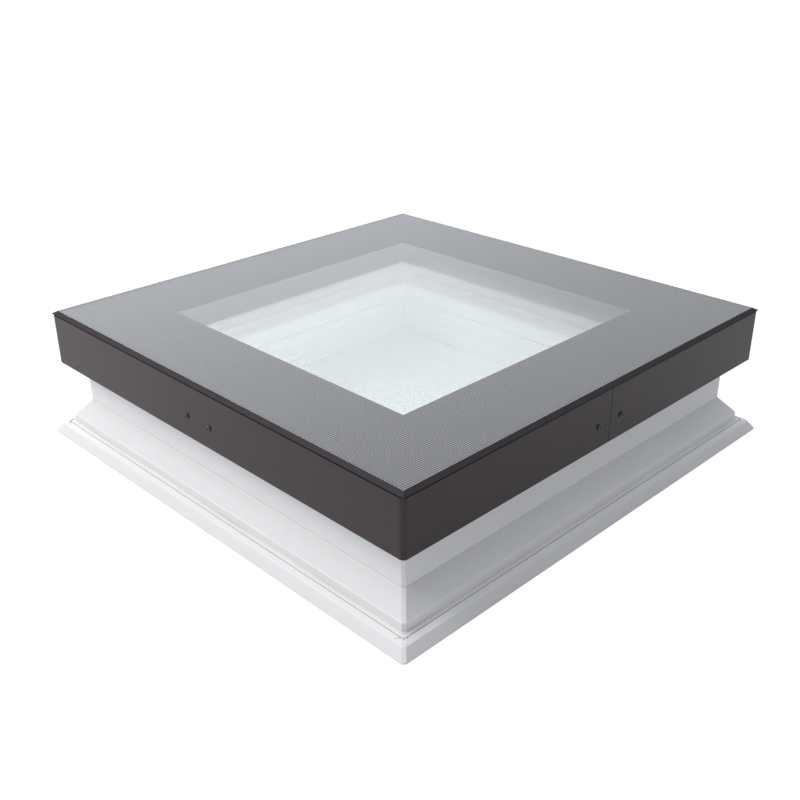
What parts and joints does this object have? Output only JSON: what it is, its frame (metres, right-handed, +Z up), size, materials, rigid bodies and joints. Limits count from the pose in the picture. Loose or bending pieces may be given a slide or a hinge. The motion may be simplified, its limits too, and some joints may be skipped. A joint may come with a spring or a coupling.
{
  "type": "flat-roof skylight",
  "caption": "Fixed flat-roof skylight: flat insulating glass with a wide dotted print border, dark metal edge trim and skirt, and a white plastic kerb with a stepped, flared foot.",
  "frame": {"origin": "middle of the kerb's underside, on the roof", "axes": "+Z up, -Y the front side and +X the right side, which carries a butt seam of the cladding"},
  "size_m": [0.795, 0.795, 0.206],
  "materials": {
    "pvc_white": "smooth extruded plastic, low gloss",
    "foam": "rigid foam",
    "carrier_aluminium": "mill finish",
    "trim_dark": "fine satin powder coat",
    "cladding_dark": "fine satin powder coat",
    "galvanised_steel": "zinc plated",
    "screw_dark": "coated steel",
    "rubber_black": "matte",
    "rubber_light": "matte",
    "glass_clear": "polished, with a grey dotted ceramic border on the outer pane",
    "spacer_grey": "satin",
    "sealant_black": "matte"
  },
  "bodies": {
    "root": {"kerb_front": "pvc_white", "kerb_right": "pvc_white", "kerb_back": "pvc_white", "kerb_left": "pvc_white", "core_front": "foam", "core_right": "foam", "core_back": "foam", "core_left": "foam", "seat_front": "pvc_white", "seat_right": "pvc_white", "seat_back": "pvc_white", "seat_left": "pvc_white", "carrier_front": "carrier_aluminium", "carrier_right": "carrier_aluminium", "carrier_back": "carrier_aluminium", "carrier_left": "carrier_aluminium", "trim_front": "trim_dark", "trim_right": "trim_dark", "trim_back": "trim_dark", "trim_left": "trim_dark", "cover_front": "cladding_dark", "cover_back": "cladding_dark", "bracket_front": "galvanised_steel", "bracket_right": "galvanised_steel", "bracket_back": "galvanised_steel", "bracket_left": "galvanised_steel", "cover_screws": "screw_dark", "bracket_screws": "galvanised_steel", "carrier_screws": "galvanised_steel", "seat_gasket": "rubber_black", "lip_gasket": "rubber_light", "pane_inner": "glass_clear", "spacer_lower": "spacer_grey", "seal_lower": "sealant_black", "pane_middle": "glass_clear", "spacer_upper": "spacer_grey", "seal_upper": "sealant_black", "pane_outer": "glass_clear", "bonding_bead": "sealant_black", "edge_seal": "sealant_black"}
  },
  "joints": []
}
